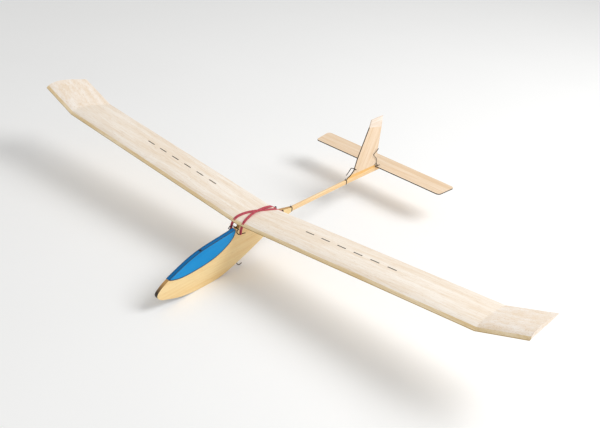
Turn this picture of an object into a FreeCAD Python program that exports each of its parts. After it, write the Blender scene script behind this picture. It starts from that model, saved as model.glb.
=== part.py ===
import FreeCAD, Part
import math
import os

# A balsa free-flight hand glider, in millimetres. While it is drawn, the origin is the lower leading
# edge of the wing on the centre line: +Y runs to the tail, +X to the glider's left wing and +Z up.
# At the end everything moves so that the origin is the centre of the underside of the whole model.

# Wing: four flat-bottomed panels of one section, glued at two tip breaks and one centre break
CHORD = 90.0
BREAK_X = 428.0            # half span of the inner panels
BREAK_RISE = 36.0
TIP_X = 501.0              # half span at the wing tip
TIP_RISE = 63.0
INCIDENCE = 2.8            # degrees, leading edge up
LEADING_STRIP = 3.5        # chord of the hard strip along the leading edge
SECTION_TOP = [            # (along the chord, height), in chords
    (0.0, 0.024), (0.05, 0.062), (0.15, 0.096), (0.30, 0.110), (0.50, 0.096), (0.75, 0.056), (1.0, 0.013),
]
NOSE_POINT = (-0.010, 0.010)     # foremost point of the section, in chords
BRACE_Y = 27.0             # dihedral brace at the deepest part of the section
BRACE_HALF_LENGTH = 32.0
BRACE_HEIGHT = 5.0
BRACE_THICKNESS = 1.5
BRACE_BASE = 1.6           # how far the brace sits above the wing's underside

# Pod: a plank of three layers, cut to the side profile
CORE_WIDTH = 3.0
CHEEK_WIDTH = 1.5
POD_HALF = CORE_WIDTH / 2 + CHEEK_WIDTH
POD_REAR_Y = 134.0
POD_CURVE = [
    (-6.0, -4.9), (-45.0, -9.8), (-97.0, -18.0), (-140.0, -34.5), (-163.0, -47.0), (-170.5, -57.0),
    (-166.0, -64.5), (-150.0, -72.0), (-129.0, -79.0), (-99.0, -84.2), (-68.0, -85.5), (-36.0, -83.7),
    (-5.0, -75.3), (28.0, -63.5), (60.0, -50.5), (98.0, -36.5), (POD_REAR_Y, -26.6),
]
SEAT_FRONT_Y = 2.0
SEAT_STEP_Z = -4.6         # pod top just in front of the seat
SEAT_REAR_Y = 86.0
REAR_STEP = (88.0, -8.4)   # pod top just behind the seat
SEAT_THICKNESS = 1.5
SEAT_HALF_WIDTH = 11.0
SEAT_EDGE = 0.7            # thickness of the seat plate at its outer edges

# Canopy: a thin film wrapped over the upper front of the pod
FILM = 0.15
CANOPY_EDGE = [
    (-151.0, -36.0), (-130.0, -43.5), (-90.0, -44.5), (-56.0, -40.5),
    (-24.0, -28.5), (-9.5, -16.0), (-8.0, 0.0),
]

# Nose ballast in a sawn slot of the core, filled from the top and closed by a peg
CHAMBER_FRONT_Y = -138.0
CHAMBER_REAR_Y = -85.0
CHAMBER_Z = -57.0
CHAMBER_R = 8.0
BALLAST_GAP = 0.1
FILLER_Y = -81.0
FILLER_LENGTH = 4.2
PEG_LENGTH = 4.0
PEG_WIDTH = 2.8
PEG_TOP = -13.4
PEG_BOTTOM = -27.0

# Tail boom: a tapering stick, let into the pod as a tongue between the cheeks
# (y, top, bottom, width) of three cross-sections
BOOM_STATIONS = [(POD_REAR_Y, -18.0, -26.6, 5.8), (298.0, -20.4, -29.0, 5.2), (434.0, -23.6, -33.2, 4.8)]
BOOM_CORNER = 1.9
TONGUE_FRONT_Y = 72.0
TONGUE_HEIGHT = 7.0
BINDING_WIDTH = 2.4
BINDING_THICKNESS = 0.45
REAR_BINDING_Y = 291.0

# Fin and tailplane, cut from sheet
SHEET = 2.0
FIN_REAR_Y = 385.2
FIN_TOP = 86.0
FIN_FOOT_Z = -24.0         # below the boom's top, where the boom is cut away from the fin
FIN_TIP_RAKE = 0.8
FIN_FRONT = [(296.5, -18.0), (308.0, -13.5), (315.0, -7.0), (320.5, 13.5), (345.0, 72.0)]
FIN_JOINT_REAR_Z = 63.0
FIN_TOP_FRONT_Y = 348.5
TAIL_FRONT_Y = 385.7
TAIL_CHORD = 48.0
TAIL_HALF_FRONT = 146.0
TAIL_HALF_REAR = 151.5
TAIL_Z = -22.6             # underside of the tailplane
TAIL_CORNER = 7.0
TAIL_SEAT_THICKNESS = 1.0
TAIL_SEAT_HALF_WIDTH = 8.0
TAIL_SEAT_SETBACK = (0.5, 2.0)   # from the tailplane's front and rear edges
TAIL_SEAT_GAP = 0.05       # the tailplane lifts off its seat, so it is not glued

# Steel wire fittings
WIRE = 0.75                # radius of the wing, tow and fin hooks
FINE_WIRE = 0.5            # radius of the pivot wire and the tailplane's hooks
FRONT_HOOK = [
    (6.6, -3.0, -4.0), (8.0, -8.6, -3.2), (9.4, -10.2, -7.2), (10.3, -6.4, -11.0), (11.2, 8.0, -13.4),
]
REAR_HOOK = [(8.0, 95.0, -9.4), (8.0, 104.5, -9.0), (8.0, 105.2, -16.4), (8.0, 102.2, -17.9)]
FIN_HOOK = [(3.4, 318.5, -6.0), (3.6, 310.5, -2.6), (3.6, 299.5, -12.4), (3.6, 297.5, -13.6)]
TOW_HOOK = [(2.5, -60.0), (3.5, -74.0), (8.0, -80.6), (12.2, -83.0), (17.6, -81.5)]
TOW_HOOK_BEND = 3.0
TAIL_HOOK = [(383.4, -3.2), (370.6, 8.2), (385.4, 17.2)]
HOOK_BEND = 1.6
PIVOT_Y = 381.7
PIVOT_Z = -16.8
PIVOT_CLEARANCE = 0.05
PIVOT_ARM_X = 4.4
PIVOT_ARM_END = 10.0       # from the tailplane's front edge
TAIL_HOOK_FOOT_END = 8.0
TAIL_HOOK_X = 2.4

# Wing bands: two rubber rings stretched crosswise, each lying as two strands
STRAND = 1.0               # radius of a strand
STRAND_SPREAD = 2.05       # a strand's distance from the middle of its band
BAND_ROUTE = [(-3.1, 1.8), (4.0, 6.9), (15.0, 9.8), (30.0, 10.1), (50.0, 7.4), (70.0, 2.8), (91.0, -1.9)]
BAND_BEND = 9.0
CROSSING_LIFT = 2.5        # how much higher the upper band runs where the two cross
CROSSING_Y = 51.0
CROSSING_REACH = 34.0
BAND_FRONT_X = 10.6
BAND_REAR_X = 8.0
FRONT_BIGHT = (-2.4, -12.5)
REAR_BIGHT = (101.0, -11.2)

DIHEDRAL = math.atan2(BREAK_RISE, BREAK_X)


def vec(x, y, z):
    return FreeCAD.Vector(x, y, z)


def spline(points):
    curve = Part.BSplineCurve()
    curve.interpolate(points)
    return curve.toShape()


def side(points):
    """Points of a side view, given as (y, z), on the centre plane."""
    return [vec(0, y, z) for y, z in points]


def slab(wire, low, high):
    """A side profile made into a board between two distances from the centre plane."""
    face = Part.Face(wire)
    face.translate(vec(low, 0, 0))
    return face.extrude(vec(high - low, 0, 0))


def box(low, high):
    size = high - low
    return Part.makeBox(size.x, size.y, size.z, low)


def mirrored(shape):
    return shape.mirror(vec(0, 0, 0), vec(1, 0, 0))


def tilted(shape):
    """Turn a piece drawn flat to the wing's incidence."""
    turned = shape.copy()
    turned.rotate(vec(0, 0, 0), vec(1, 0, 0), -INCIDENCE)
    return turned


def rounded_path(points, radius):
    """Straight runs joined by tangent arcs. An arc shrinks where its two runs are short."""
    edges = []
    start = points[0]
    for before, corner, after in zip(points, points[1:], points[2:]):
        to_before = (before - corner).normalize()
        to_after = (after - corner).normalize()
        half_turn = (math.pi - to_before.getAngle(to_after)) / 2
        room = 0.45 * min((before - corner).Length, (after - corner).Length)
        cut = min(radius * math.tan(half_turn), room)
        arc_radius = cut / math.tan(half_turn)
        first = corner + to_before * cut
        last = corner + to_after * cut
        inward = (to_before + to_after).normalize()
        middle = corner + inward * (math.hypot(arc_radius, cut) - arc_radius)
        edges.append(Part.LineSegment(start, first).toShape())
        edges.append(Part.Arc(first, middle, last).toShape())
        start = last
    edges.append(Part.LineSegment(start, points[-1]).toShape())
    return edges


def sweep(edges, radius):
    """Round wire or strand along a path."""
    path = Part.Wire(edges)
    first = edges[0]
    start = first.valueAt(first.FirstParameter)
    direction = first.tangentAt(first.FirstParameter)
    profile = Part.Wire(Part.makeCircle(radius, start, direction))
    return path.makePipeShell([profile], True, True)


def bent_wire(points, radius, bend):
    return sweep(rounded_path(points, bend), radius)


# --- wing ---------------------------------------------------------------------------------------


def wing_section(x, rise):
    """The closed section at one distance along the span."""
    top = [vec(x, CHORD * y, CHORD * z + rise) for y, z in SECTION_TOP]
    nose = vec(x, CHORD * NOSE_POINT[0], CHORD * NOSE_POINT[1] + rise)
    low_front = vec(x, 0, rise)
    low_rear = vec(x, CHORD, rise)
    round_nose = Part.Arc(low_front, nose, top[0]).toShape()
    rear = Part.makeLine(top[-1], low_rear)
    under = Part.makeLine(low_rear, low_front)
    return Part.Wire([round_nose, spline(top), rear, under])


def wing_panel(inner, outer):
    """One panel between two (x, rise) stations, parted into its leading strip and its board."""
    whole = Part.makeLoft([wing_section(*inner), wing_section(*outer)], True, True)
    bounds = whole.BoundBox
    front = box(vec(bounds.XMin - 1, bounds.YMin - 1, bounds.ZMin - 1),
                vec(bounds.XMax + 1, LEADING_STRIP, bounds.ZMax + 1))
    return whole.common(front), whole.cut(front)


def dihedral_brace():
    """A shallow V of plywood, let into both inner panels across the centre joint."""
    rise = BRACE_HALF_LENGTH * math.tan(DIHEDRAL)
    end_z = rise + BRACE_BASE
    low = [(-BRACE_HALF_LENGTH, end_z), (0, BRACE_BASE), (BRACE_HALF_LENGTH, end_z)]
    high = [(x, z + BRACE_HEIGHT) for x, z in reversed(low)]
    outline = [vec(x, BRACE_Y, z) for x, z in low + high]
    outline.append(outline[0])
    return Part.Face(Part.makePolygon(outline)).extrude(vec(0, BRACE_THICKNESS, 0))


def wing_parts():
    brace = dihedral_brace()
    inner_strip, inner_board = wing_panel((0, 0), (BREAK_X, BREAK_RISE))
    tip_strip, tip_board = wing_panel((BREAK_X, BREAK_RISE), (TIP_X, TIP_RISE))
    pieces = {
        "leading_edge": inner_strip,
        "wing_panel": inner_board.cut(brace),
        "leading_edge_tip": tip_strip,
        "wing_tip": tip_board,
    }
    parts = {"wing_brace": tilted(brace)}
    for name, piece in pieces.items():
        parts[name + "_left"] = tilted(piece)
        parts[name + "_right"] = tilted(mirrored(piece))
    return parts


def wing_seat():
    """Plate between pod and wing, hollowed to the wing's shallow V."""
    edge_z = SEAT_HALF_WIDTH * math.tan(DIHEDRAL)
    outline = [
        (-SEAT_HALF_WIDTH, edge_z), (0, 0), (SEAT_HALF_WIDTH, edge_z), (SEAT_HALF_WIDTH, edge_z - SEAT_EDGE),
        (POD_HALF, -SEAT_THICKNESS), (-POD_HALF, -SEAT_THICKNESS), (-SEAT_HALF_WIDTH, edge_z - SEAT_EDGE),
    ]
    points = [vec(x, SEAT_FRONT_Y, z) for x, z in outline]
    points.append(points[0])
    plate = Part.Face(Part.makePolygon(points)).extrude(vec(0, SEAT_REAR_Y - SEAT_FRONT_Y, 0))
    return tilted(plate)


# --- pod ----------------------------------------------------------------------------------------


def pod_outline():
    """Side profile: one curve round the nose and along the belly, then straight edges on top."""
    curve = spline(side(POD_CURVE))
    slope = math.tan(math.radians(INCIDENCE))
    drop = SEAT_THICKNESS / math.cos(math.radians(INCIDENCE))
    corners = [
        POD_CURVE[-1], (POD_REAR_Y, BOOM_STATIONS[0][1]), REAR_STEP,
        (SEAT_REAR_Y, -SEAT_REAR_Y * slope - drop), (SEAT_FRONT_Y, -SEAT_FRONT_Y * slope - drop),
        (SEAT_FRONT_Y, SEAT_STEP_Z), POD_CURVE[0],
    ]
    return Part.Wire([curve] + Part.makePolygon(side(corners)).Edges)


def slot_profile(front_y, rear_y, z, radius):
    """A slot with round ends in the side view."""
    front = Part.Arc(*side([(front_y, z + radius), (front_y - radius, z), (front_y, z - radius)])).toShape()
    rear = Part.Arc(*side([(rear_y, z - radius), (rear_y + radius, z), (rear_y, z + radius)])).toShape()
    under = Part.makeLine(*side([(front_y, z - radius), (rear_y, z - radius)]))
    over = Part.makeLine(*side([(rear_y, z + radius), (front_y, z + radius)]))
    return Part.Wire([front, under, rear, over])


def boom_tongue():
    """The thin front end of the boom, held between the pod's cheeks."""
    _, boom_top, boom_bottom, _ = BOOM_STATIONS[0]
    low_z = (boom_top + boom_bottom - TONGUE_HEIGHT) / 2
    low = vec(-CORE_WIDTH / 2, TONGUE_FRONT_Y, low_z)
    return box(low, vec(CORE_WIDTH / 2, POD_REAR_Y + 1, low_z + TONGUE_HEIGHT))


def pod_parts(wires):
    outline = pod_outline()
    half_core = CORE_WIDTH / 2
    core = slab(outline, -half_core, half_core)
    chamber = slab(slot_profile(CHAMBER_FRONT_Y, CHAMBER_REAR_Y, CHAMBER_Z, CHAMBER_R), -half_core, half_core)
    filler = box(vec(-half_core, FILLER_Y - FILLER_LENGTH / 2, CHAMBER_Z),
                 vec(half_core, FILLER_Y + FILLER_LENGTH / 2, 0))
    core = core.cut(chamber).cut(filler).cut(boom_tongue())
    left = slab(outline, half_core, POD_HALF)
    parts = {"pod_core": core, "pod_cheek_left": left, "pod_cheek_right": mirrored(left)}
    for name, piece in parts.items():
        for wire in wires:
            piece = piece.cut(wire)
        parts[name] = piece
    gap = BALLAST_GAP
    ballast = slot_profile(CHAMBER_FRONT_Y, CHAMBER_REAR_Y, CHAMBER_Z, CHAMBER_R - gap)
    parts["nose_ballast"] = slab(ballast, gap - half_core, half_core - gap)
    parts["ballast_plug"] = box(vec(-PEG_WIDTH / 2, FILLER_Y - PEG_LENGTH / 2, PEG_BOTTOM),
                                vec(PEG_WIDTH / 2, FILLER_Y + PEG_LENGTH / 2, PEG_TOP))
    parts["canopy_film"] = canopy_film(outline, filler)
    return parts


def canopy_film(outline, filler):
    """Film on both cheeks and over the top edge, with an opening for the peg."""
    edge = side(CANOPY_EDGE)
    above = side([CANOPY_EDGE[-1], (CANOPY_EDGE[0][0], 0.0), CANOPY_EDGE[0]])
    region = Part.Wire([spline(edge)] + Part.makePolygon(above).Edges)
    outer = POD_HALF + FILM
    skin = slab(outline, -outer, outer)
    raised = skin.copy()
    raised.translate(vec(0, 0, FILM))
    covered = slab(region, -outer, outer).common(skin.fuse(raised))
    return covered.cut(slab(outline, -POD_HALF, POD_HALF)).cut(filler)


# --- boom and tail ------------------------------------------------------------------------------


def rounded_section(y, top, bottom, width, corner):
    """A rounded rectangle across the boom."""
    half = width / 2
    mid = corner * (1 - math.sqrt(0.5))
    edges = []
    corners = [(half, top, -1, -1), (half, bottom, -1, 1), (-half, bottom, 1, 1), (-half, top, 1, -1)]
    joints = []
    for index, (x, z, dx, dz) in enumerate(corners):
        along_x = vec(x + dx * corner, y, z)
        along_z = vec(x, y, z + dz * corner)
        first, last = (along_x, along_z) if index % 2 == 0 else (along_z, along_x)
        edges.append(Part.Arc(first, vec(x + dx * mid, y, z + dz * mid), last).toShape())
        joints.append((first, last))
    for (_, last), (first, _) in zip(joints, joints[1:] + joints[:1]):
        edges.append(Part.makeLine(last, first))
    return Part.Wire(Part.sortEdges(edges)[0])


def tail_boom():
    """The tapering stick with its tongue in front and a ledge for the tailplane's seat."""
    sections = [rounded_section(*station, BOOM_CORNER) for station in BOOM_STATIONS]
    stick = Part.makeLoft(sections, True, True).fuse(boom_tongue())
    ledge_y = (FIN_REAR_Y + TAIL_FRONT_Y) / 2
    ledge_z = TAIL_Z - TAIL_SEAT_GAP - TAIL_SEAT_THICKNESS
    above_ledge = box(vec(-TAIL_SEAT_HALF_WIDTH, ledge_y, ledge_z),
                      vec(TAIL_SEAT_HALF_WIDTH, TAIL_FRONT_Y + TAIL_CHORD + 1, 0))
    return stick.cut(above_ledge)


def boom_binding(y, stick):
    """Thread wound round the boom, as one flat ring."""
    margin = BINDING_THICKNESS
    for (y0, top0, low0, width0), (y1, top1, low1, width1) in zip(BOOM_STATIONS, BOOM_STATIONS[1:]):
        if y0 <= y < y1:
            share = (y - y0) / (y1 - y0)
            top = top0 + share * (top1 - top0)
            low = low0 + share * (low1 - low0)
            width = width0 + share * (width1 - width0)
    ring = rounded_section(y, top + margin, low - margin, width + 2 * margin, BOOM_CORNER + margin)
    return Part.Face(ring).extrude(vec(0, BINDING_WIDTH, 0)).cut(stick)


def fin_parts(boom, wires):
    """Fin board and its separate tip, standing on the boom."""
    joint_front = FIN_FRONT[-1]
    joint = Part.makeLine(*side([joint_front, (FIN_REAR_Y, FIN_JOINT_REAR_Z)]))
    low = [
        (FIN_REAR_Y, FIN_JOINT_REAR_Z), (FIN_REAR_Y, FIN_FOOT_Z), (FIN_FRONT[0][0], FIN_FOOT_Z), FIN_FRONT[0],
    ]
    curve = spline(side(FIN_FRONT[:3]))
    leading = Part.makePolygon(side(FIN_FRONT[2:])).Edges
    edges = [joint, curve] + leading + Part.makePolygon(side(low)).Edges
    body = slab(Part.Wire(Part.sortEdges(edges)[0]), -SHEET / 2, SHEET / 2).cut(boom)
    for wire in wires:
        body = body.cut(wire)
    body = body.cut(pivot_bar(FINE_WIRE + PIVOT_CLEARANCE))
    tip = [
        joint_front, (FIN_TOP_FRONT_Y, FIN_TOP), (FIN_REAR_Y - FIN_TIP_RAKE, FIN_TOP),
        (FIN_REAR_Y, FIN_JOINT_REAR_Z), joint_front,
    ]
    return {"fin": body, "fin_tip": slab(Part.makePolygon(side(tip)), -SHEET / 2, SHEET / 2)}


def pivot_bar(radius):
    return Part.makeCylinder(radius, 2 * PIVOT_ARM_X, vec(-PIVOT_ARM_X, PIVOT_Y, PIVOT_Z), vec(1, 0, 0))


def tailplane():
    """Flat sheet with raked tips and rounded front corners."""
    rear = TAIL_FRONT_Y + TAIL_CHORD
    front_middle = vec(0, TAIL_FRONT_Y, TAIL_Z)
    outline = [
        front_middle, vec(TAIL_HALF_FRONT, TAIL_FRONT_Y, TAIL_Z), vec(TAIL_HALF_REAR, rear, TAIL_Z),
        vec(-TAIL_HALF_REAR, rear, TAIL_Z), vec(-TAIL_HALF_FRONT, TAIL_FRONT_Y, TAIL_Z), front_middle,
    ]
    edges = rounded_path(outline, TAIL_CORNER)
    return Part.Face(Part.Wire(edges)).extrude(vec(0, 0, SHEET))


def tailplane_seat():
    top = TAIL_Z - TAIL_SEAT_GAP
    front, rear = TAIL_SEAT_SETBACK
    low = vec(-TAIL_SEAT_HALF_WIDTH, TAIL_FRONT_Y + front, top - TAIL_SEAT_THICKNESS)
    return box(low, vec(TAIL_SEAT_HALF_WIDTH, TAIL_FRONT_Y + TAIL_CHORD - rear, top))


# --- wire fittings ------------------------------------------------------------------------------


def cross_wire(half, radius):
    """A wire that crosses the centre plane, given by its left half and bent alike on both sides."""
    left = [vec(x, y, z) for x, y, z in half]
    right = [vec(-x, y, z) for x, y, z in reversed(half)]
    return bent_wire(right + left, radius, HOOK_BEND)


def tow_hook():
    """The towing hook under the belly, its point turned to the rear."""
    return bent_wire(side(TOW_HOOK), WIRE, TOW_HOOK_BEND)


def pivot_wire():
    """Axle through the fin, whose two arms lie on the tailplane and are glued there."""
    surface = TAIL_Z + SHEET + FINE_WIRE
    arm = [(TAIL_FRONT_Y + 3, surface), (TAIL_FRONT_Y + PIVOT_ARM_END, surface)]
    return cross_wire([(PIVOT_ARM_X, y, z) for y, z in [(PIVOT_Y, PIVOT_Z)] + arm], FINE_WIRE)


def tail_hook():
    """Upright hook beside the fin, glued to the tailplane by its foot."""
    surface = TAIL_Z + SHEET + FINE_WIRE
    foot = [(TAIL_FRONT_Y + TAIL_HOOK_FOOT_END, surface), (TAIL_FRONT_Y + 2.5, surface)]
    return bent_wire([vec(TAIL_HOOK_X, y, z) for y, z in foot + TAIL_HOOK], FINE_WIRE, HOOK_BEND)


# --- wing bands ---------------------------------------------------------------------------------


def band_line(front_x, rear_x, offset, lift):
    """One strand from the front bight to the rear one, following the top of the wing."""
    low_y, high_y = FRONT_BIGHT[0], REAR_BIGHT[0]
    line = []
    for y, z in [FRONT_BIGHT] + BAND_ROUTE + [REAR_BIGHT]:
        share = (y - low_y) / (high_y - low_y)
        x = front_x + share * (rear_x - front_x)
        crossing = math.exp(-(((y - CROSSING_Y) / CROSSING_REACH) ** 4))
        line.append(vec(x + offset, y, z + abs(x) * math.tan(DIHEDRAL) + lift * crossing))
    return line


def bight(first, last, away):
    """Half a turn round a hook, from the end of one strand to the start of the other."""
    middle = (first + last) * 0.5 + away * ((last - first).Length / 2)
    return Part.Arc(first, middle, last).toShape()


def wing_band(front_x, rear_x, lift):
    """A rubber ring hooked at both ends, so that two strands lie side by side."""
    there = band_line(front_x, rear_x, -STRAND_SPREAD, lift)
    back = band_line(front_x, rear_x, STRAND_SPREAD, lift)
    away_rear = (there[-1] - there[-2]).normalize()
    away_front = (there[0] - there[1]).normalize()
    outward = rounded_path(there, BAND_BEND) + [bight(there[-1], back[-1], away_rear)]
    homeward = rounded_path(list(reversed(back)), BAND_BEND) + [bight(back[0], there[0], away_front)]
    return sweep(outward, STRAND).fuse(sweep(homeward, STRAND))


# --- the whole glider ---------------------------------------------------------------------------


def build():
    front_hook = cross_wire(FRONT_HOOK, WIRE)
    rear_hook = cross_wire(REAR_HOOK, WIRE)
    tow = tow_hook()
    fin_hook = cross_wire(FIN_HOOK, WIRE)
    boom = tail_boom()
    hook = tail_hook()
    parts = wing_parts()
    parts.update(pod_parts([front_hook, rear_hook, tow]))
    parts.update(fin_parts(boom, [fin_hook]))
    parts.update({
        "wing_seat": wing_seat(),
        "front_wing_hook": front_hook,
        "rear_wing_hook": rear_hook,
        "tow_hook": tow,
        "tail_boom": boom,
        "boom_binding_front": boom_binding(POD_REAR_Y, boom),
        "boom_binding_rear": boom_binding(REAR_BINDING_Y, boom),
        "tailplane": tailplane(),
        "tailplane_seat": tailplane_seat(),
        "tail_front_hook": fin_hook,
        "tail_pivot_wire": pivot_wire(),
        "tail_hook_left": hook,
        "tail_hook_right": mirrored(hook),
        "wing_band_lower": wing_band(-BAND_FRONT_X, BAND_REAR_X, 0.0),
        "wing_band_upper": wing_band(BAND_FRONT_X, -BAND_REAR_X, CROSSING_LIFT),
    })
    return parts


def main():
    parts = build()
    bounds = Part.makeCompound(list(parts.values())).optimalBoundingBox()
    to_base = vec(-bounds.Center.x, -bounds.Center.y, -bounds.ZMin)
    os.makedirs("parts", exist_ok=True)
    for name, shape in sorted(parts.items()):
        shape.translate(to_base)
        shape.exportStep("parts/" + name + ".step")
        print(f"{name}: {len(shape.Solids)} solid, {shape.Volume:.0f} mm3, valid {shape.isValid()}")
    print(f"size {bounds.XLength:.1f} x {bounds.YLength:.1f} x {bounds.ZLength:.1f} mm")
    print(f"moved by {to_base.x:.2f}, {to_base.y:.2f}, {to_base.z:.2f} mm")


main()
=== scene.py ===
# %% [markdown]
# # A balsa hand glider
# The glider's frame comes from its CAD model: every board, wire and strip is already in place and at
# its real size. This lesson gives each piece the finish of its real material, and builds the few
# pieces that a solid modeller leaves plain: the rubber bands, the wound thread and the pen marks.

# %% Load the frame
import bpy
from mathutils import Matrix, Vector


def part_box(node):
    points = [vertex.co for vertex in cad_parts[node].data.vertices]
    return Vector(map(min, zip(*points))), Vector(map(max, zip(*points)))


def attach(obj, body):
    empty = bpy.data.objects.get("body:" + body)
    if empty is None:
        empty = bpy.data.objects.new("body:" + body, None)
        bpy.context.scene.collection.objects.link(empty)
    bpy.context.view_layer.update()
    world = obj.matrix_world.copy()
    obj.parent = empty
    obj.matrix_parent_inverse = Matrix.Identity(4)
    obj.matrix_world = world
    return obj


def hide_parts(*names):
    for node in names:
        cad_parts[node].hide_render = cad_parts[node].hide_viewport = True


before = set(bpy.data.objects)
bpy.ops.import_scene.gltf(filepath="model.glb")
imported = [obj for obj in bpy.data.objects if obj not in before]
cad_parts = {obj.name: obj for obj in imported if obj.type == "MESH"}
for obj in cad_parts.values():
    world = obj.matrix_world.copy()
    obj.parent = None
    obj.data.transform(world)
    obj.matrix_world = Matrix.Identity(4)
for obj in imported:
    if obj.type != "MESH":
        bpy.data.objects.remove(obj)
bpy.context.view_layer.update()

# %% [markdown]
# ## Measuring from the plan
# A model builder's plan measures in millimetres from the wing's leading edge on the centre line.
# The fin's rear edge and the fin's top are known on that plan, so their places in the frame tell
# where the plan's zero lies. Every given point below goes through `plan`.

# %% From plan millimetres to frame metres
import math

import bpy
from mathutils import Matrix, Vector
from mathutils.bvhtree import BVHTree

MM = 0.001
FIN_REAR_ON_PLAN = 385.2
FIN_TOP_ON_PLAN = 86.0
fin_rear, fin_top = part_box("fin")[1].y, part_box("fin_tip")[1].z
plan_zero = Vector((0, fin_rear - FIN_REAR_ON_PLAN * MM, fin_top - FIN_TOP_ON_PLAN * MM))


def plan(x, y, z):
    """A point of the plan, in the frame."""
    return plan_zero + Vector((x, y, z)) * MM


print("the plan's zero lies at", [round(v, 4) for v in plan_zero])

# %% [markdown]
# ## The camera
# It comes first, because it decides which details have to carry the picture. The camera stands in
# front of the glider's left wing and above it. A camera looks along its own -Z with +Y up, so its
# matrix is built from three directions: right, up and back. A small roll tips the picture, as it
# does when the camera is held in the hand.

# %% Camera
AZIMUTH, ELEVATION, ROLL = (math.radians(v) for v in (36.616, 30.401, 6.805))
CAMERA_PLACE = Vector((0.7644, -0.9966, 0.7938))
level = Vector((math.cos(AZIMUTH), math.sin(AZIMUTH), 0))
ahead = Vector((-math.sin(AZIMUTH), math.cos(AZIMUTH), 0))
forward = ahead * math.cos(ELEVATION) - Vector((0, 0, math.sin(ELEVATION)))
upright = level.cross(forward)
right = math.cos(ROLL) * level + math.sin(ROLL) * upright
up = math.cos(ROLL) * upright - math.sin(ROLL) * level
camera_data = bpy.data.cameras.new("camera")
camera_data.lens = 50.58
camera_data.sensor_width = 36
camera = bpy.data.objects.new("camera", camera_data)
turned = Matrix((right, up, -forward)).transposed().to_4x4()
camera.matrix_world = Matrix.Translation(CAMERA_PLACE) @ turned
bpy.context.scene.collection.objects.link(camera)
bpy.context.scene.camera = camera
print("camera to wing:", round((CAMERA_PLACE - plan_zero).length, 3), "m")

# %% [markdown]
# ## Colours and nodes
# Shaders work in linear light, while colours are chosen as sRGB hex values, so one function turns
# one into the other. `give` sets any input of any node: to a number, to a hex colour, or to a link
# from another node. `add` makes a node with its own settings and gives it its inputs.

# %% Helpers for materials


def linear(hex_colour):
    """An sRGB hex colour in linear light, with full alpha."""
    channels = [int(hex_colour[i:i + 2], 16) / 255 for i in (1, 3, 5)]
    return tuple(c / 12.92 if c < 0.04045 else ((c + 0.055) / 1.055) ** 2.4 for c in channels) + (1.0,)


def give(tree, node, name, value):
    """Sets one input. Another node is linked by the first of its outputs that is in use."""
    socket = node.inputs[name]
    if isinstance(value, bpy.types.Node):
        value = next(output for output in value.outputs if output.enabled)
    if isinstance(value, bpy.types.NodeSocket):
        tree.links.new(value, socket)
    else:
        socket.default_value = linear(value) if isinstance(value, str) else value


def add(tree, kind, inputs=None, **settings):
    """Adds one node with its settings and its inputs."""
    node = tree.nodes.new("ShaderNode" + kind)
    for name, value in settings.items():
        setattr(node, name, value)
    for name, value in (inputs or {}).items():
        give(tree, node, name, value)
    return node


def new_material(name):
    """An empty material, with its node tree and its Principled shader."""
    made = bpy.data.materials.new(name)
    made.use_nodes = True
    return made, made.node_tree, made.node_tree.nodes["Principled BSDF"]


def finish_with(material, *nodes):
    """Gives CAD nodes one material."""
    for name in nodes:
        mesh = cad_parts[name].data
        mesh.materials.clear()
        mesh.materials.append(material)
    print(material.name, "on", ", ".join(nodes))


# %% [markdown]
# ## Wood
# All the woods here share one idea: noise that is stretched along the grain. `marks` is told how
# long and how wide a mark is in millimetres, so a pore or a streak keeps its real proportions on
# every board. `wood` then layers three kinds: broad bands of tone, streaks, and short dark pores.
# Where a board was cut by laser, its thin edges are charred, and `edge_mask` finds them by comparing
# the surface's direction with the board's face. A further helper marks the part of a board that lies
# below a slanting line, for a tint on a face or for painted shade on an edge.

# %% Wood helpers
AXES = {"x": Vector((1, 0, 0)), "y": Vector((0, 1, 0)), "z": Vector((0, 0, 1))}
ROUGHNESS_SWING = 0.08


def marks(tree, along, length, width, detail=3.0, rough=0.5, offset=0.0, turn=0.0):
    """Noise whose marks have this length along the grain and this width, both in millimetres.

    The offset keeps two layers from repeating each other, and turn leans the grain, in degrees.
    """
    place = add(tree, "TexCoord").outputs["Object"]
    turned = add(tree, "Mapping", {"Vector": place, "Rotation": (math.radians(turn), 0, 0)})
    scale = [1 / ((length if axis == along else width) * MM) for axis in "xyz"]
    stretched = add(tree, "Mapping", {"Vector": turned, "Scale": scale})
    moved = add(tree, "VectorMath", {0: stretched, 1: (offset, offset, offset)}, operation="ADD")
    return add(tree, "TexNoise", {"Vector": moved, "Scale": 1.0, "Detail": detail, "Roughness": rough})


def edge_mask(tree, face):
    """1 on the thin edges of a board whose faces look along the named axis, and 0 on its faces."""
    normal = add(tree, "TexCoord").outputs["Normal"]
    cosine = add(tree, "VectorMath", {0: normal, 1: AXES[face]}, operation="DOT_PRODUCT")
    facing = add(tree, "Math", {0: cosine}, operation="ABSOLUTE")
    return add(tree, "MapRange", {"Value": facing, "From Min": 0.35, "From Max": 0.65,
                                  "To Min": 1.0, "To Max": 0.0})


def below_slanting_line(tree, y0, z0, y1, z1, soft):
    """1 below the line through two plan points (y, z), fading to 0 over soft millimetres above it."""
    start, end = plan(0, y0, z0), plan(0, y1, z1)
    along = (end - start).normalized()
    upwards = Vector((0, -along.z, along.y))
    place = add(tree, "TexCoord").outputs["Object"]
    over = add(tree, "VectorMath", {0: place, 1: start}, operation="SUBTRACT")
    height = add(tree, "VectorMath", {0: over, 1: upwards}, operation="DOT_PRODUCT")
    return add(tree, "MapRange", {"Value": height, "From Max": soft * MM, "To Min": 1.0, "To Max": 0.0})


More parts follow.
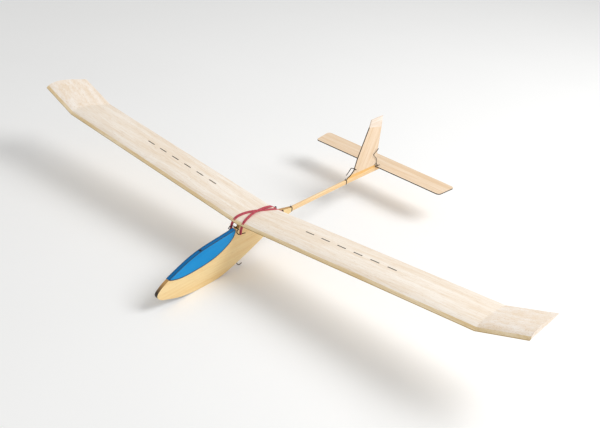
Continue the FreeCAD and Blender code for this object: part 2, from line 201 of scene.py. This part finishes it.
def wood(name, light, dark, pore, along, band, streak, pores, pore_share, roughness, bump,
         turn=0.0, edge=None, coat=0.0, face_tints=()):
    """A wood. band, streak and pores are (length, width) of its marks in millimetres.

    edge is (axis that the board's faces look along, colour of its edges, painted shades on the
    edges). A painted shade, or a tint on the faces, is a colour and the arguments of the helper
    for a slanting line.
    """
    material, tree, shader = new_material(name)
    bands = marks(tree, along, *band, detail=2.0, turn=turn)
    streaks = marks(tree, along, *streak, detail=5.0, rough=0.6, offset=7.3, turn=turn)
    dots = marks(tree, along, *pores, detail=2.0, offset=3.1, turn=turn)
    both = add(tree, "Math", {0: bands, 1: streaks}, operation="ADD")
    tone = add(tree, "MapRange", {"Value": both, "From Min": 0.78, "From Max": 1.22})
    colour = add(tree, "Mix", {0: tone, 6: light, 7: dark}, data_type="RGBA")
    spots = add(tree, "MapRange", {"Value": dots, "From Min": 0.60, "From Max": 0.72, "To Max": pore_share})
    colour = add(tree, "Mix", {0: spots, 6: colour, 7: pore}, data_type="RGBA")
    for overlay_colour, where in face_tints:
        colour = add(tree, "Mix", {0: below_slanting_line(tree, *where), 6: colour, 7: overlay_colour}, data_type="RGBA")
    if edge:
        face, burnt, *edge_painted_shades = edge
        for overlay_colour, where in edge_painted_shades:
            burnt = add(tree, "Mix", {0: below_slanting_line(tree, *where), 6: burnt, 7: overlay_colour}, data_type="RGBA")
        colour = add(tree, "Mix", {0: edge_mask(tree, face), 6: colour, 7: burnt}, data_type="RGBA")
    give(tree, shader, "Base Color", colour)
    low_rough, high_rough = roughness - ROUGHNESS_SWING, roughness + ROUGHNESS_SWING
    rough = add(tree, "MapRange", {"Value": streaks, "To Min": low_rough, "To Max": high_rough})
    give(tree, shader, "Roughness", rough)
    height = add(tree, "Math", {0: streaks, 1: dots}, operation="SUBTRACT")
    raised = add(tree, "Bump", {"Height": height, "Strength": 0.6, "Distance": bump * MM})
    give(tree, shader, "Normal", raised)
    shader.inputs["IOR"].default_value = 1.5
    shader.inputs["Coat Weight"].default_value = coat
    shader.inputs["Coat Roughness"].default_value = 0.3
    return material


# %% [markdown]
# ### The wing boards
# Balsa is the lightest of woods and nearly white. The wing panels are planed from light balsa board
# and sanded, so they are matt, with soft streaks along the span. Real balsa pores are about 0.2 mm
# wide, too fine to show from a metre away, so they are drawn 0.8 mm wide. The tip panels come from
# another board with a livelier figure, which is why a builder sees at once that they were glued on.

# %% Light balsa
balsa = wood("balsa_planed_and_sanded", light="#FAF1E5", dark="#EDDBC4", pore="#C9A883", along="x",
             band=(400, 16), streak=(110, 2.6), pores=(14, 0.8), pore_share=0.5,
             roughness=0.72, bump=0.08)
finish_with(balsa, "wing_panel_left", "wing_panel_right")
tip_balsa = wood("balsa_figured_and_sanded", light="#FBF2E8", dark="#EFDCC4", pore="#C29A68", along="x",
                 band=(260, 12), streak=(130, 2.0), pores=(22, 0.9), pore_share=0.65,
                 roughness=0.72, bump=0.1)
finish_with(tip_balsa, "wing_tip_left", "wing_tip_right")

# %% [markdown]
# ### The strip along the leading edge
# Soft balsa would dent at the first landing, so a strip of hard, darker balsa is glued along the
# leading edge. Its blunt nose faces forward, away from the light, and is painted darker as shade.

# %% Hard balsa strip
# painted shade: the strip's front-facing nose gets the darker edge colour
strip_balsa = wood("hard_balsa_strip", light="#F2DFBC", dark="#E2C694", pore="#A9854F", along="x",
                   band=(300, 8), streak=(80, 1.6), pores=(10, 0.7), pore_share=0.4,
                   roughness=0.65, bump=0.06, edge=("z", "#B2945E"))
finish_with(strip_balsa, "leading_edge_left", "leading_edge_right", "leading_edge_tip_left",
            "leading_edge_tip_right")

# %% [markdown]
# ### The pod
# The pod is three layers of thin birch plywood, cut by laser and lightly varnished. The faces are
# warm and yellow with a quiet figure along the pod. The laser browns the edges. Under the nose the
# edges face down and forward, away from the light, and are painted nearly black as shade. That
# painted shade lies below a slanting line through two points of the plan, and fades out above it.

# %% Birch plywood
# painted shade: the edges under the nose are painted nearly black, where they face down and away from the
# light
NOSE_PAINTED_SHADE = ("#22150C", (-172.2, -52.0, -100.0, -84.0, 17.0))
plywood = wood("birch_plywood_laser_cut", light="#FADFA8", dark="#F0CC8C", pore="#C99A58", along="y",
               band=(220, 14), streak=(70, 2.4), pores=(9, 0.7), pore_share=0.3, roughness=0.5, bump=0.05,
               edge=("x", "#BE9152", NOSE_PAINTED_SHADE), coat=0.25)
finish_with(plywood, "pod_cheek_left", "pod_cheek_right", "pod_core")
thin_plywood = wood("thin_plywood_raw", light="#E3C595", dark="#CDA772", pore="#9C7444", along="x",
                    band=(90, 8), streak=(30, 1.5), pores=(6, 0.5), pore_share=0.3,
                    roughness=0.7, bump=0.05)
finish_with(thin_plywood, "wing_seat", "wing_brace", "tailplane_seat")

# %% [markdown]
# ### The boom
# The tail boom is a planed pine stick. Pine has long straight growth lines, and a coat of clear
# varnish makes them glow a little orange.

# %% Varnished pine
pine = wood("pine_varnished", light="#F8DDB0", dark="#EDBF7E", pore="#C0843F", along="y",
            band=(400, 3), streak=(160, 1.2), pores=(12, 0.5), pore_share=0.3,
            roughness=0.45, bump=0.04, coat=0.3)
finish_with(pine, "tail_boom")

# %% [markdown]
# ### Fin and tailplane
# Both are cut by laser from 2 mm balsa sheet, with charred edges. The grain runs along the span of
# the tailplane. On the fin it follows the leading edge, so the grain is turned by the fin's rake.
# The fin's tip is a separate, paler scrap of the same sheet, cut by knife. The fin is coloured
# orange for a few millimetres up its foot, where it meets the boom.

# %% Balsa sheet
sheet_tones = {"light": "#F4DFC6", "dark": "#E6C8A4", "pore": "#C29B6C"}
tail_sheet = wood("balsa_sheet_tailplane", along="x", band=(200, 9), streak=(60, 1.8), pores=(9, 0.7),
                  pore_share=0.35, roughness=0.7, bump=0.07, edge=("z", "#2C2018"), **sheet_tones)
finish_with(tail_sheet, "tailplane")
FIN_RAKE = math.degrees(math.atan2(345.0 - 320.5, 72.0 - 13.5))
# the fin is coloured orange a few millimetres up its foot, where it meets the boom
ORANGE_FOOT = ("#F0BE74", (310.8, -15.0, 373.7, -18.0, 1.6))
fin_sheet = wood("balsa_sheet_fin", along="z", band=(200, 9), streak=(60, 1.8), pores=(9, 0.7),
                 pore_share=0.35, roughness=0.7, bump=0.07, turn=FIN_RAKE, edge=("x", "#4A3A2A"),
                 face_tints=[ORANGE_FOOT], **sheet_tones)
finish_with(fin_sheet, "fin")
tip_sheet = wood("balsa_sheet_fin_tip", light="#F8ECE0", dark="#EAD8C4", pore="#CDB090", along="y",
                 band=(60, 9), streak=(30, 1.8), pores=(7, 0.7), pore_share=0.3, roughness=0.7, bump=0.07)
finish_with(tip_sheet, "fin_tip")

# %% [markdown]
# ## The canopy film
# The canopy is printed polyester film, stuck on and rubbed down by hand. Film is smooth, but the
# wood's grain shows through it as slow waves, and the rubbing leaves a satin gloss with faint
# streaks. Over the pod's top edge the film is coloured a darker blue. Polyester
# bends light by about 1.6, but the matt print holds back most of the gloss.

# %% Blue film
film, tree, shader = new_material("polyester_film_blue")
waves = marks(tree, "y", 30, 5, detail=2.0)
tint = add(tree, "Mix", {0: waves, 6: "#0588CE", 7: "#0F95D8"}, data_type="RGBA")
# the film is coloured a darker blue over the pod's top edge
darker_over_edge = add(tree, "Mix", {0: edge_mask(tree, "x"), 6: tint, 7: "#076CAA"}, data_type="RGBA")
give(tree, shader, "Base Color", darker_over_edge)
rubbed = marks(tree, "y", 12, 0.8, offset=5.0)
give(tree, shader, "Roughness", add(tree, "MapRange", {"Value": rubbed, "To Min": 0.38, "To Max": 0.54}))
give(tree, shader, "Normal", add(tree, "Bump", {"Height": waves, "Strength": 0.5, "Distance": 0.15 * MM}))
shader.inputs["IOR"].default_value = 1.6
shader.inputs["Specular IOR Level"].default_value = 0.15
finish_with(film, "canopy_film")

# %% [markdown]
# ## The ballast peg and the lead
# A stained beech peg closes the ballast hole in the pod's top edge. The lead inside is never seen,
# but it gets its dull cast skin all the same, because a pulled peg and a sawn pod would show it.

# %% Peg and lead
peg = wood("beech_peg_stained", light="#3A2A1E", dark="#23180F", pore="#120C08", along="z",
           band=(20, 2), streak=(8, 0.6), pores=(2, 0.3), pore_share=0.6, roughness=0.6, bump=0.04)
finish_with(peg, "ballast_plug")
lead, tree, shader = new_material("lead_cast")
dull = marks(tree, "y", 6, 6, detail=4.0)
give(tree, shader, "Base Color", add(tree, "Mix", {0: dull, 6: "#5C5E62", 7: "#7A7C80"}, data_type="RGBA"))
shader.inputs["Metallic"].default_value = 1.0
shader.inputs["Roughness"].default_value = 0.6
finish_with(lead, "nose_ballast")

# %% [markdown]
# ## The steel wires
# Every hook is bent from spring steel wire. Drawing the wire through a die leaves fine lines along
# it, and the dark oxide from the mill stays on, so it reads as nearly black with a narrow glint.

# %% Spring steel
steel, tree, shader = new_material("spring_steel_wire_drawn")
oxide = marks(tree, "y", 5, 5, detail=4.0, rough=0.6)
give(tree, shader, "Base Color", add(tree, "Mix", {0: oxide, 6: "#1E1814", 7: "#3C3028"}, data_type="RGBA"))
drawn = marks(tree, "y", 3, 0.15, detail=2.0)
give(tree, shader, "Roughness", add(tree, "MapRange", {"Value": drawn, "To Min": 0.3, "To Max": 0.5}))
shader.inputs["Metallic"].default_value = 1.0
finish_with(steel, "front_wing_hook", "rear_wing_hook", "tow_hook", "tail_front_hook", "tail_pivot_wire",
            "tail_hook_left", "tail_hook_right")

# %% [markdown]
# ## A sweep for rubber, thread and ink
# Rubber strands, thread and pen strokes are all one section carried along a path. A curve with a
# bevel could do it, but a small sweep of our own gives clean quads and lets a closed loop meet
# itself without a twist. The section's direction is carried from ring to ring, and what twist is
# left over when a loop closes is shared out along the whole of it.

# %% Sweep helper


def sweep(path, section, closed=False, outward=Vector((0, 0, 1))):
    """Points and quads of a section, given as (side, out) in metres, carried along a path."""
    count = len(path)
    tangents = []
    for i in range(count):
        before = path[i - 1] if closed or i > 0 else path[i]
        after = path[(i + 1) % count] if closed or i < count - 1 else path[i]
        tangents.append((after - before).normalized())
    outs = [(outward - tangents[0] * outward.dot(tangents[0])).normalized()]
    for tangent in tangents[1:]:
        outs.append((outs[-1] - tangent * outs[-1].dot(tangent)).normalized())
    twist = 0.0
    if closed:
        home = (outs[-1] - tangents[0] * outs[-1].dot(tangents[0])).normalized()
        twist = math.atan2(home.cross(outs[0]).dot(tangents[0]), home.dot(outs[0]))
    points = []
    for i, (place, tangent, out) in enumerate(zip(path, tangents, outs)):
        out = Matrix.Rotation(twist * i / count, 3, tangent) @ out
        side = tangent.cross(out)
        points += [place + side * s + out * o for s, o in section]
    size = len(section)
    faces = []
    for i in range(count if closed else count - 1):
        ring, following = i * size, ((i + 1) % count) * size
        for j in range(size):
            k = (j + 1) % size
            faces.append((ring + j, ring + k, following + k, following + j))
    if not closed:
        faces.append(tuple(reversed(range(size))))
        faces.append(tuple(range((count - 1) * size, count * size)))
    return points, faces


def piece(name, sweeps, material, body):
    """One object made of several sweeps, riding on a body."""
    points, faces = [], []
    for some_points, some_faces in sweeps:
        faces += [tuple(i + len(points) for i in face) for face in some_faces]
        points += some_points
    mesh = bpy.data.meshes.new(name)
    mesh.from_pydata(points, [], faces)
    mesh.polygons.foreach_set("use_smooth", [True] * len(faces))
    mesh.materials.append(material)
    made = bpy.data.objects.new(name, mesh)
    bpy.context.scene.collection.objects.link(made)
    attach(made, body)
    print(name, "has", len(faces), "faces")
    return made


def round_section(radius, sides=10):
    """A circle as (side, out) points."""
    turns = [2 * math.pi * i / sides for i in range(sides)]
    return [(radius * math.cos(t), radius * math.sin(t)) for t in turns]


# %% [markdown]
# ## The canopy's outline
# A dark line is printed round the canopy. It follows the film's cut edge, so its path is read from
# the film's own mesh: the rim of a flat face is the set of edges that only one of its triangles
# uses. Walking from edge to edge puts the rim's points in order, and a very thin sweep lays the ink.

# %% Printed outline


def rim(mesh, way):
    """The outline of the mesh's outermost flat face towards +X (1) or -X (-1), in order."""
    outermost = max(way * v.co.x for v in mesh.vertices)
    flat = [p for p in mesh.polygons if way * p.normal.x > 0.99]
    used = {}
    for polygon in (p for p in flat if way * p.center.x > outermost - 0.05 * MM):
        for key in polygon.edge_keys:
            ends = frozenset(tuple(round(c, 6) for c in mesh.vertices[i].co) for i in key)
            used[ends] = used.get(ends, 0) + 1
    joined = {}
    for ends in (e for e, times in used.items() if times == 1 and len(e) == 2):
        for place in ends:
            joined.setdefault(place, []).extend(ends - {place})
    walk = [min(joined)]
    while True:
        further = [place for place in sorted(joined[walk[-1]]) if place not in walk]
        if not further:
            return [Vector(place) for place in walk]
        walk.append(further[0])


outline_ink, tree, shader = new_material("screen_ink_dark_blue")
thin = marks(tree, "y", 6, 0.6)
give(tree, shader, "Base Color", add(tree, "Mix", {0: thin, 6: "#06283C", 7: "#0D4260"}, data_type="RGBA"))
shader.inputs["Roughness"].default_value = 0.5
LINE, LINE_THICKNESS = 0.75, 0.06  # half the line's width, and its thickness
for name, way in (("canopy_outline_left", 1), ("canopy_outline_right", -1)):
    half, thick = LINE * MM, LINE_THICKNESS * MM
    path = [place + Vector((way * thick, 0, 0)) for place in rim(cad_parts["canopy_film"].data, way)]
    section = [(half, -thick), (half, thick), (-half, thick), (-half, -thick)]
    printed = sweep(path, section, closed=True, outward=Vector((way, 0, 0)))
    piece(name, [printed], outline_ink, "airframe")

# %% [markdown]
# ## The rubber bands
# Two red bands hold the wing down. Each is a ring hooked to the front wire on one side and to the
# rear wire on the other, so the two cross over the wing. Rubber pulled over a wing lies on it, so
# the strands' height is read from the wing itself: a ray is dropped on the boards, and the strand
# lies half its own thickness above. The second band also has to climb over the first.

# %% How high the wing is
wing_meshes = []
for name in ("wing_panel_left", "wing_panel_right", "leading_edge_left", "leading_edge_right"):
    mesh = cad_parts[name].data
    corners, polygons = [v.co for v in mesh.vertices], [list(p.vertices) for p in mesh.polygons]
    wing_meshes.append(BVHTree.FromPolygons(corners, polygons))
ABOVE = 0.5


def wing_top(x, y):
    """The height of the wing's upper side at a place in the frame, or None beside the wing."""
    hits = [tree.ray_cast(Vector((x, y, ABOVE)), Vector((0, 0, -1)))[0] for tree in wing_meshes]
    heights = [hit.z for hit in hits if hit]
    return max(heights) if heights else None


middle_top = wing_top(0.02, plan(0, 30, 0).y)
print("the wing's top lies", round(middle_top - plan_zero.z, 4), "m above the plan's zero")

# %% [markdown]
# The ring is drawn as one closed path: up from the front hook, over the wing, round the rear hook and
# back. Between the hooks the strand follows the wing, and a running average takes the corner out of
# the line where it leaves the leading edge, as stiff rubber would.

# %% Band path
STRAND = 1.0               # half the thickness of a strand, in millimetres
CORNER = 0.55              # where a strand's bevelled corner starts, as a share of STRAND
SPREAD = 1.25              # from the middle of the band to a strand
FRONT_HOOK_X, REAR_HOOK_X = 10.55, 8.0
FRONT_LOW = (-2.4, -11.4)  # where the strands reach the front wire, as (y, z) on the plan
REAR_LOW = (101.0, -10.6)
FRONT_CLIMB = 3.2          # from point to point, up from the front hook
ON_WING, OFF_WING, WING_STEP = 3, 88, 3   # where a strand lies on the wing, along y
REAR_STEPS = 5             # points from the wing down to the rear hook
SKIN = 0.15                # air between rubber and wood
BIGHT_STEPS = 6
CROSSING_Y, CROSSING_REACH, CROSSING_RISE = 51.0, 30.0, 2.4


def band_height(x, y, rise):
    """The middle of a strand above the wing, on the plan, with the hump where the bands cross."""
    hump = rise * math.exp(-(((y - CROSSING_Y) / CROSSING_REACH) ** 4))
    top = wing_top(x * MM, plan(0, y, 0).y)
    return (top - plan_zero.z) / MM + STRAND + SKIN + hump


def strand_line(front_x, rear_x, offset, rise):
    """One strand from the front hook to the rear hook, as plan points."""
    front_y, rear_y = FRONT_LOW[0], REAR_LOW[0]

    def across(y):
        return front_x + (rear_x - front_x) * (y - front_y) / (rear_y - front_y) + offset

    line = [(across(front_y), front_y, FRONT_LOW[1] + FRONT_CLIMB * step) for step in range(4)]
    line += [(across(y), y, band_height(across(y), y, rise)) for y in range(ON_WING, OFF_WING, WING_STEP)]
    last_y, last_z = line[-1][1], line[-1][2]
    for step in range(1, REAR_STEPS + 1):
        y = last_y + (rear_y - last_y) * step / REAR_STEPS
        line.append((across(y), y, last_z + (REAR_LOW[1] - last_z) * step / REAR_STEPS))
    return line


def bight(first, last, away):
    """Half a circle from one strand to the other round a hook, without its two ends."""
    middle, half = (first + last) / 2, (last - first) / 2
    turns = [math.pi * step / BIGHT_STEPS for step in range(1, BIGHT_STEPS)]
    return [middle - half * math.cos(t) + away * half.length * math.sin(t) for t in turns]


def smoothed(path, times=2):
    """A closed path with each point moved towards its neighbours."""
    for _ in range(times):
        path = [(path[i - 1] + path[i] * 2 + path[(i + 1) % len(path)]) / 4 for i in range(len(path))]
    return path


def rubber_band(name, front_x, rear_x, rise, node):
    """A ring of rubber, stretched from a front hook to the rear hook on the other side."""
    there = [plan(*p) for p in strand_line(front_x, rear_x, -SPREAD, rise)]
    back = [plan(*p) for p in strand_line(front_x, rear_x, SPREAD, rise)]
    rear_way = (there[-1] - there[-2]).normalized()
    front_way = (there[0] - there[1]).normalized()
    ring = there + bight(there[-1], back[-1], rear_way) + back[::-1] + bight(back[0], there[0], front_way)
    flat, corner = STRAND * MM, CORNER * STRAND * MM
    section = [(flat, corner), (corner, flat), (-corner, flat), (-flat, corner),
               (-flat, -corner), (-corner, -flat), (corner, -flat), (flat, -corner)]
    band = piece(name, [sweep(smoothed(ring), section, closed=True)], rubber, "airframe")
    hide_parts(node)


# %% [markdown]
# Natural rubber dyed red is soft to the eye: the light goes a little way in. Pale streaks along the
# strand are partly a dusting of talc and partly painted highlight. Rubber bends light by about 1.52.

# %% Red rubber
rubber, tree, shader = new_material("natural_rubber_red")
talc_and_highlight = marks(tree, "y", 9, 1.0, detail=4.0, rough=0.6)
dusted_and_highlit = add(tree, "MapRange", {"Value": talc_and_highlight, "From Min": 0.35, "From Max": 0.8})
# pale streaks: partly talc dust, partly painted highlight
give(tree, shader, "Base Color", add(tree, "Mix", {0: dusted_and_highlit, 6: "#B02A40", 7: "#D86878"}, data_type="RGBA"))
give(tree, shader, "Roughness", add(tree, "MapRange", {"Value": talc_and_highlight, "To Min": 0.45, "To Max": 0.65}))
shader.inputs["IOR"].default_value = 1.52
shader.inputs["Subsurface Weight"].default_value = 0.15
shader.inputs["Subsurface Scale"].default_value = 1.0 * MM
rubber_band("rubber_band_under", -FRONT_HOOK_X, REAR_HOOK_X, 0.0, "wing_band_lower")
rubber_band("rubber_band_over", FRONT_HOOK_X, -REAR_HOOK_X, CROSSING_RISE, "wing_band_upper")

# %% [markdown]
# ## The thread bindings
# Waxed linen thread is wound tightly round the boom behind the pod and again in front of the fin, so
# that the pine can't split. A winding is a helix that follows the boom's rounded section. It ends in
# a small knot with two cut tails on top, here a trefoil, the simplest knot there is.

# %% Waxed thread
thread, tree, shader = new_material("linen_thread_waxed")
fibres = marks(tree, "y", 0.4, 0.4, rough=0.6)
give(tree, shader, "Base Color", add(tree, "Mix", {0: fibres, 6: "#140E0A", 7: "#33241A"}, data_type="RGBA"))
shader.inputs["Roughness"].default_value = 0.6
shader.inputs["Sheen Weight"].default_value = 0.2
THREAD = 0.2               # half the thickness of the thread
CAD_WINDING = 0.45         # how far the plain ring stands off the boom
BOOM_CORNER = 2.0          # the rounding of the boom's edges
KNOT, KNOT_LIFT, KNOT_STEPS = 0.45, 0.7, 48
TAILS = ((1.6, -0.6, 2.2), (-1.2, 0.8, 2.6))   # the cut ends, from the knot's ends


def rounded_loop(half_width, low, high, corner, steps=5):
    """Points (x, z) once round a rounded rectangle."""
    points = []
    corners = [(1, 1), (-1, 1), (-1, -1), (1, -1)]
    for quarter, (side_x, side_z) in enumerate(corners):
        middle_x = side_x * (half_width - corner)
        middle_z = high - corner if side_z > 0 else low + corner
        for step in range(steps + 1):
            angle = (quarter + step / steps) * math.pi / 2
            points.append((middle_x + corner * math.cos(angle), middle_z + corner * math.sin(angle)))
    return points


def binding(name, node):
    """A thread winding with its knot, in place of the plain ring."""
    low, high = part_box(node)
    inset = (CAD_WINDING - THREAD) * MM
    loop = rounded_loop(high.x - inset, low.z + inset, high.z - inset, BOOM_CORNER * MM)
    turns = round((high.y - low.y) / (2 * THREAD * MM))
    pitch = (high.y - low.y) / turns
    steps = [(turn + i / len(loop), x, z) for turn in range(turns) for i, (x, z) in enumerate(loop)]
    helix = [Vector((x, low.y + pitch * step, z)) for step, x, z in steps]
    knot_place = Vector((0, (low.y + high.y) / 2, high.z + KNOT_LIFT * MM))
    knot = []
    for t in (2 * math.pi * i / KNOT_STEPS for i in range(2, KNOT_STEPS - 2)):
        out = 2 + math.cos(3 * t)
        trefoil = Vector((out * math.sin(2 * t), out * math.cos(2 * t), math.sin(3 * t)))
        knot.append(knot_place + trefoil * KNOT * MM)
    first, last = (Vector(tail) * MM for tail in TAILS)
    path = [knot[0] + first, knot[0] + first / 2, *knot, knot[-1] + last / 2, knot[-1] + last]
    section = round_section(THREAD * MM, 6)
    wound = piece(name, [sweep(helix, section), sweep(path, section)], thread, "airframe")
    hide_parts(node)


binding("thread_binding_pod", "boom_binding_front")
binding("thread_binding_fin", "boom_binding_rear")

# %% [markdown]
# ## The pen marks
# Each inner wing panel carries a row of plain dashes, drawn along the span with a broad felt pen.
# They could be painted by the shader, but a stroke of real, very thin ink keeps a crisp edge at any
# distance. Felt-pen ink soaks into balsa, so it is matt and not quite black, and fades at random.

# %% Ink dashes
ink, tree, shader = new_material("felt_pen_ink")
soaked = marks(tree, "x", 8, 0.8)
give(tree, shader, "Base Color", add(tree, "Mix", {0: soaked, 6: "#24221F", 7: "#4C4842"}, data_type="RGBA"))
shader.inputs["Roughness"].default_value = 0.85
DASHES, DASH_LENGTH, DASH_WIDTH, DASH_STEP = 6, 16.0, 3.4, 31.0
FIRST_DASH_X, DASH_Y = 100.0, 50.0
INK = 0.08                 # thickness of the ink


def dash(x, way):
    """One stroke, lying on the wing and running outwards."""
    half_wide, half_thick = DASH_WIDTH / 2 * MM, INK / 2 * MM
    section = [(half_wide, -half_thick), (half_wide, half_thick),
               (-half_wide, half_thick), (-half_wide, -half_thick)]
    path = []
    for step in range(5):
        place = plan(way * (x + DASH_LENGTH * step / 4), DASH_Y, 0)
        path.append(Vector((place.x, place.y, wing_top(place.x, place.y) + half_thick)))
    return sweep(path, section)


for name, way in (("pen_dashes_left", 1), ("pen_dashes_right", -1)):
    strokes = [dash(FIRST_DASH_X + DASH_STEP * i, way) for i in range(DASHES)]
    piece(name, strokes, ink, "airframe")

# %% [markdown]
# ## Floor and light
# A pale floor and an even, bright surround let the thin boards read by their own colour. The key
# light stands behind the left wing and above it. It lights the tops and the pod's flank, and
# leaves the front edges dark, so that each board's outline shows. A weak light in front opens up
# the shade.

# %% Floor
floor_mesh = bpy.data.meshes.new("floor")
FLOOR_HALF = 8.0
floor_corners = [(FLOOR_HALF * x, FLOOR_HALF * y, 0) for x, y in ((-1, -1), (1, -1), (1, 1), (-1, 1))]
floor_mesh.from_pydata(floor_corners, [], [(0, 1, 2, 3)])
floor = bpy.data.objects.new("floor", floor_mesh)
bpy.context.scene.collection.objects.link(floor)
paper, tree, shader = new_material("matt_paper")
mottle = marks(tree, "y", 300, 300, detail=2.0)
give(tree, shader, "Base Color", add(tree, "Mix", {0: mottle, 6: "#FAFAF9", 7: "#FDFDFC"}, data_type="RGBA"))
shader.inputs["Roughness"].default_value = 0.9
floor_mesh.materials.append(paper)

# %% Lights


def soft_light(name, place, size, power):
    """A square soft box that looks at the wing's middle."""
    data = bpy.data.lights.new(name, "AREA")
    data.size = size
    data.energy = power
    made = bpy.data.objects.new(name, data)
    made.location = place
    made.rotation_mode = "QUATERNION"
    made.rotation_quaternion = (plan_zero - Vector(place)).to_track_quat("-Z", "Y")
    bpy.context.scene.collection.objects.link(made)
    print(name, "stands", round((Vector(place) - plan_zero).length, 2), "m from the wing")


soft_light("key_soft_box", (1.3, 1.0, 1.9), 1.3, 36.0)
soft_light("front_soft_box", (1.6, -1.8, 1.2), 1.6, 4.0)
world = bpy.data.worlds.new("studio")
world.use_nodes = True
world.node_tree.nodes["Background"].inputs["Color"].default_value = linear("#FFFFFF")
world.node_tree.nodes["Background"].inputs["Strength"].default_value = 0.56
bpy.context.scene.world = world
bpy.context.scene.view_settings.view_transform = "Standard"
